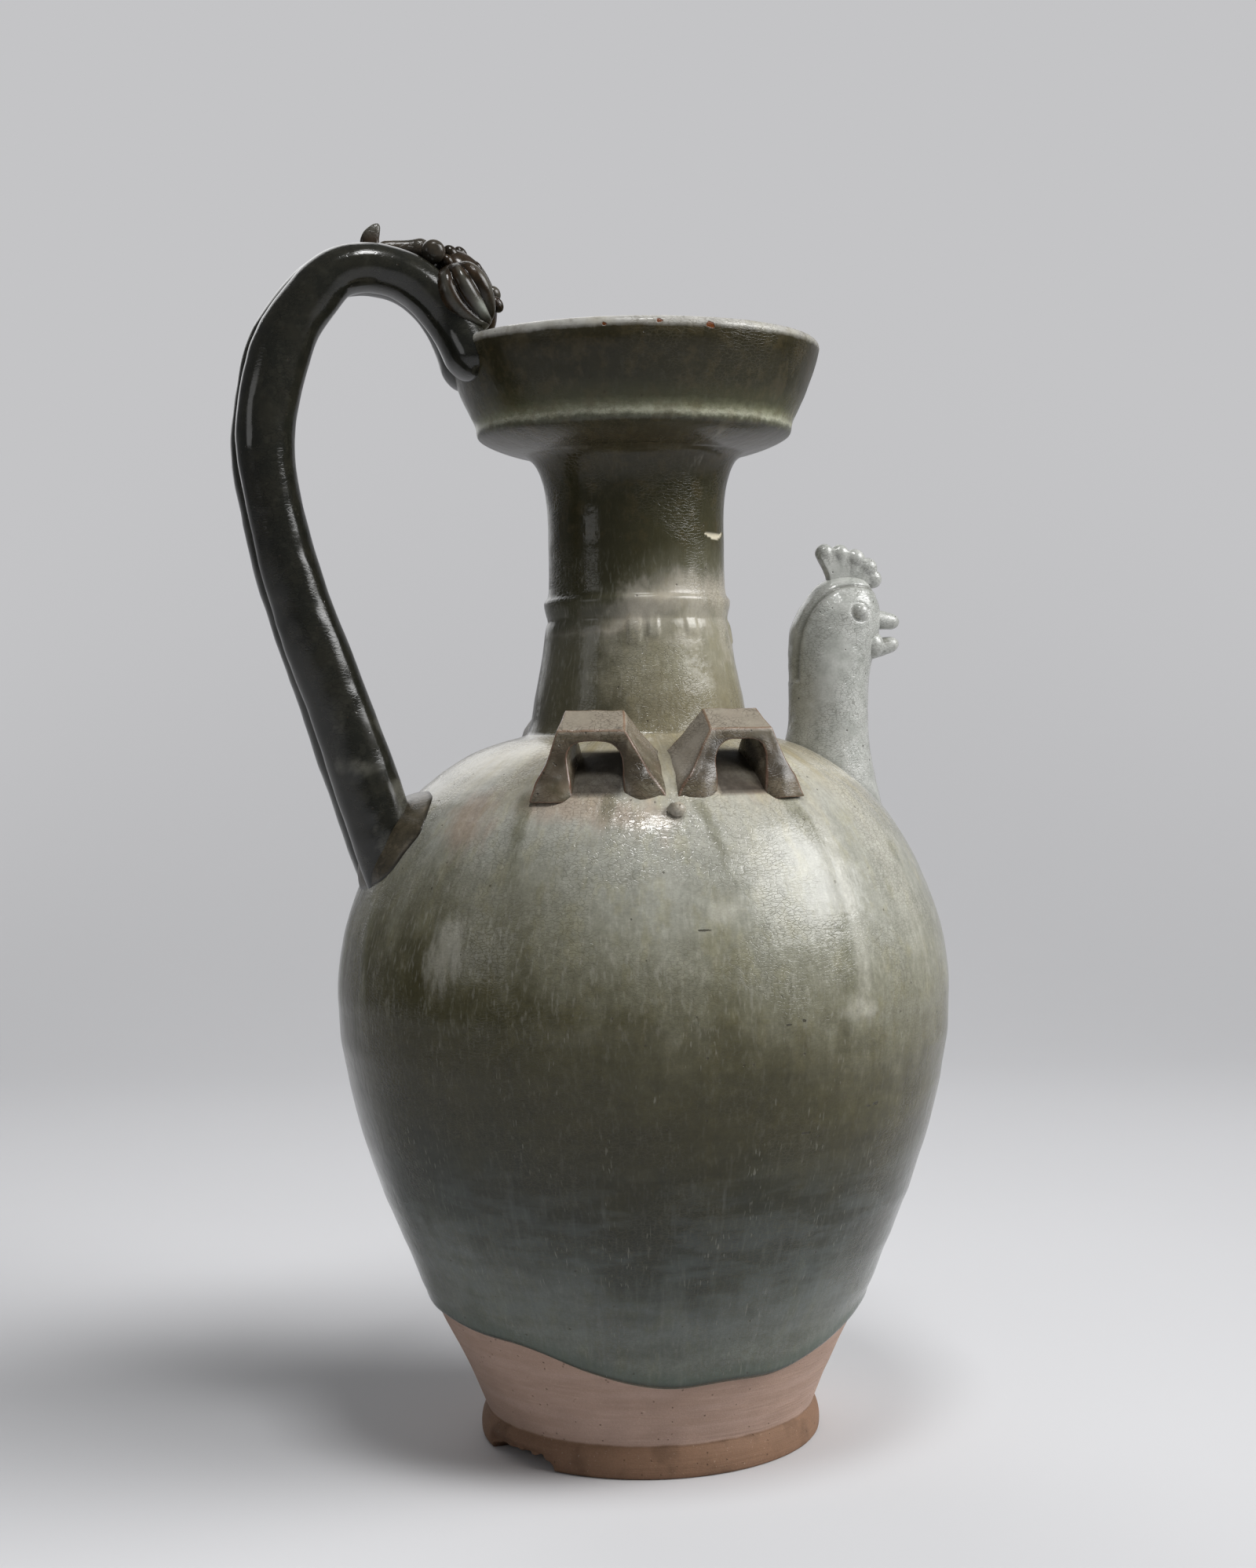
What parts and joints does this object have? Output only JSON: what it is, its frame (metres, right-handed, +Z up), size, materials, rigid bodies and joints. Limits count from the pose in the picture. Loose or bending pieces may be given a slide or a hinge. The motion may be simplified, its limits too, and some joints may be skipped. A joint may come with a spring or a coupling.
{
  "type": "ewer",
  "caption": "Tall ovoid celadon ewer with a dish mouth, a looped dragon handle, a cockerel's head on the shoulder and bridge lugs for a cord.",
  "frame": {"origin": "centre of the foot's flat underside, on the vessel's axis", "axes": "+Z up along the vessel's axis, +X to the cockerel's head, -X to the dragon handle, -Y to the front pair of lugs"},
  "size_m": [0.2538, 0.22, 0.4313],
  "materials": {
    "bare_clay": "matt unglazed stoneware with wheel marks",
    "body_glaze": "glossy grey-green celadon with fine crackle, streaks and pooling",
    "dark_glaze": "glossy dark olive-grey celadon",
    "thin_glaze": "thin brownish celadon, reddish at the edges",
    "pale_glaze": "glossy pale blue-green celadon with fine crackle"
  },
  "bodies": {
    "root": {"foot_disc": "bare_clay", "lower_body": "body_glaze", "upper_body": "body_glaze", "neck_cone": "body_glaze", "neck_tube": "body_glaze", "dish_mouth": "body_glaze", "handle_strand_front": "dark_glaze", "handle_strand_back": "dark_glaze", "handle_root_pad": "dark_glaze", "dragon_head": "thin_glaze", "dragon_cheek_front": "thin_glaze", "dragon_cheek_back": "thin_glaze", "dragon_eye_front": "thin_glaze", "dragon_eye_back": "thin_glaze", "dragon_nose": "thin_glaze", "dragon_nape_ridge": "thin_glaze", "dragon_crest": "thin_glaze", "lug_front_left": "thin_glaze", "lug_front_right": "thin_glaze", "lug_back_left": "thin_glaze", "lug_back_right": "thin_glaze", "cock_neck": "pale_glaze", "cock_comb": "pale_glaze", "cock_eye_front": "pale_glaze", "cock_eye_back": "pale_glaze", "cock_beak_upper": "pale_glaze", "cock_beak_lower": "pale_glaze"}
  },
  "joints": []
}
